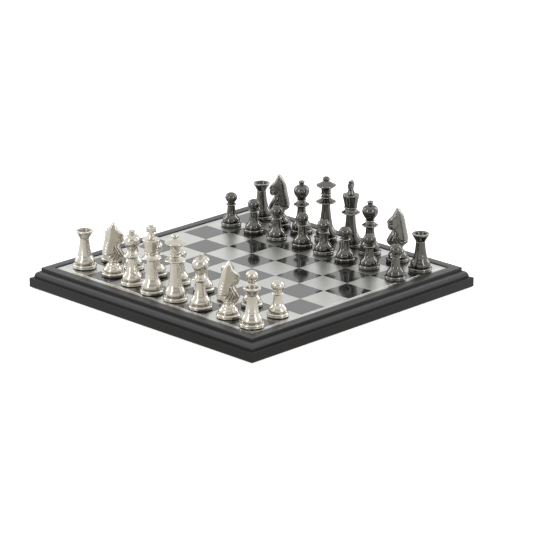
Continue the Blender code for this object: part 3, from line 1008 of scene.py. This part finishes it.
# ---------------------------------------------------------------- studio
STUDIO_WHITE = (1.0, 1.0, 1.0)        # what the metal mirrors behind and beside the set
STUDIO_FRONT = (0.29, 0.265, 0.24)    # the dimmer, warmer room on the photographer's side
STUDIO_CEILING = (0.92, 0.92, 0.92)
FLOOR_FRONT = (0.74, 0.72, 0.665)     # what the metal mirrors of the floor on the photographer's side
FLOOR_FILL = 0.72                     # glow that keeps the floor pale where the camera sees it

STRIP_AZIMUTHS = {"left": -46, "right": 46, "far_left": -118, "far_right": 118}
STRIP_ELEVATION = 24
STRIP_DISTANCE = 1.3
STRIP_SIZE = (0.17, 0.85)             # width and height
STRIP_POWER = 2.6
STRIP_COLOUR = (1.0, 0.99, 0.97)


def direction_at(azimuth, elevation):
    """From the board towards this azimuth and elevation, in degrees; azimuth 0 is the front, -Y."""
    a, e = radians(azimuth), radians(elevation)
    return Vector((sin(a) * cos(e), -cos(a) * cos(e), sin(e)))


def view_axes():
    """The camera's right, up and backward directions."""
    back = direction_at(CAMERA_AZIMUTH, CAMERA_ELEVATION)
    right = direction_at(CAMERA_AZIMUTH + 90, 0)
    up = back.cross(right)
    roll = radians(CAMERA_ROLL)
    return right * cos(roll) + up * sin(roll), up * cos(roll) - right * sin(roll), back


def add_camera():
    right, up, back = view_axes()
    data = bpy.data.cameras.new("camera")
    data.sensor_width = SENSOR
    data.lens = LENS
    data.clip_end = 50.0
    camera = bpy.data.objects.new("camera", data)
    bpy.context.scene.collection.objects.link(camera)
    target = Vector((*CAMERA_TARGET, PLATE_HIGH.z))
    rotation = Matrix((right, up, back)).transposed().to_4x4()
    camera.matrix_world = Matrix.Translation(target + back * CAMERA_DISTANCE) @ rotation
    bpy.context.scene.camera = camera


def add_strip_lights():
    """Tall soft boxes round the board, azimuth counted from the camera's side towards its right."""
    for side, azimuth in STRIP_AZIMUTHS.items():
        direction = direction_at(CAMERA_AZIMUTH + azimuth, STRIP_ELEVATION)
        data = bpy.data.lights.new("strip_" + side, "AREA")
        data.shape = "RECTANGLE"
        data.size, data.size_y = STRIP_SIZE
        data.energy = STRIP_POWER
        data.color = STRIP_COLOUR
        light = bpy.data.objects.new("strip_" + side, data)
        light.location = direction * STRIP_DISTANCE
        light.rotation_euler = direction.to_track_quat("Z", "Y").to_euler()
        bpy.context.scene.collection.objects.link(light)


def towards_photographer(nodes, direction):
    """1 where a direction points level towards the photographer's side, -1 where it points away."""
    towards = nodes.add("ShaderNodeVectorMath", operation="DOT_PRODUCT")
    towards.inputs[1].default_value = direction_at(CAMERA_AZIMUTH, 0)
    nodes.link(direction, towards.inputs[0])
    return towards.outputs["Value"]


def add_world():
    """White surroundings, with a dim warm room on the photographer's side and a slightly grey ceiling.

    The room is paler near the floor. Seen directly, all of it is white.
    """
    world = bpy.data.worlds.new("studio")
    world.use_nodes = True
    bpy.context.scene.world = world
    nodes = Nodes(world.node_tree)
    background = world.node_tree.nodes["Background"]
    direction = nodes.coordinates("Generated")
    split = nodes.add("ShaderNodeSeparateXYZ")
    nodes.link(direction, split.inputs["Vector"])
    height = split.outputs["Z"]
    front = nodes.ramp(towards_photographer(nodes, direction), 0.0, 0.8)
    front = nodes.math("MULTIPLY", front, nodes.ramp(height, 0.24, 0.44, 0.35, 1.0))
    colour = nodes.mix(front, STUDIO_WHITE, STUDIO_FRONT)
    colour = nodes.mix(nodes.ramp(height, 0.45, 0.95), colour, STUDIO_CEILING)
    nodes.link(nodes.mix(nodes.seen_directly(), colour, STUDIO_WHITE), background.inputs["Color"])
    background.inputs["Strength"].default_value = 1.0


def add_floor():
    """A large pale plane under the set; mirrored in the metal it is warmer on the photographer's side."""
    bm = bmesh.new()
    bmesh.ops.create_grid(bm, x_segments=2, y_segments=2, size=6.0)
    material, nodes, shader = new_material("pale_floor", Roughness=0.9, Emission_Strength=FLOOR_FILL)
    shader.inputs["Emission Color"].default_value = (1.0, 1.0, 1.0, 1.0)
    where = nodes.coordinates()
    base = nodes.mix(nodes.noise(where, 3.0), (0.86, 0.86, 0.86), (0.88, 0.88, 0.88))
    nodes.link(base, shader.inputs["Base Color"])
    unit = nodes.add("ShaderNodeVectorMath", operation="NORMALIZE")
    nodes.link(where, unit.inputs[0])
    front = nodes.ramp(towards_photographer(nodes, unit.outputs["Vector"]), -0.10, 0.85)
    glow = nodes.add("ShaderNodeEmission")
    nodes.link(nodes.mix(front, STUDIO_WHITE, FLOOR_FRONT), glow.inputs["Color"])
    choose = nodes.add("ShaderNodeMixShader")
    nodes.link(nodes.seen_directly(), choose.inputs["Fac"])
    nodes.link(glow.outputs["Emission"], choose.inputs[1])
    nodes.link(shader.outputs["BSDF"], choose.inputs[2])
    surface = material.node_tree.nodes["Material Output"].inputs["Surface"]
    nodes.link(choose.outputs["Shader"], surface)
    floor = object_from_bmesh("floor", bm, material)


add_rails()
add_plate()
add_feet()
finish_hidden_nodes()
add_chessmen()
add_floor()
add_world()
add_strip_lights()
add_camera()
bpy.context.scene.view_settings.view_transform = "Standard"
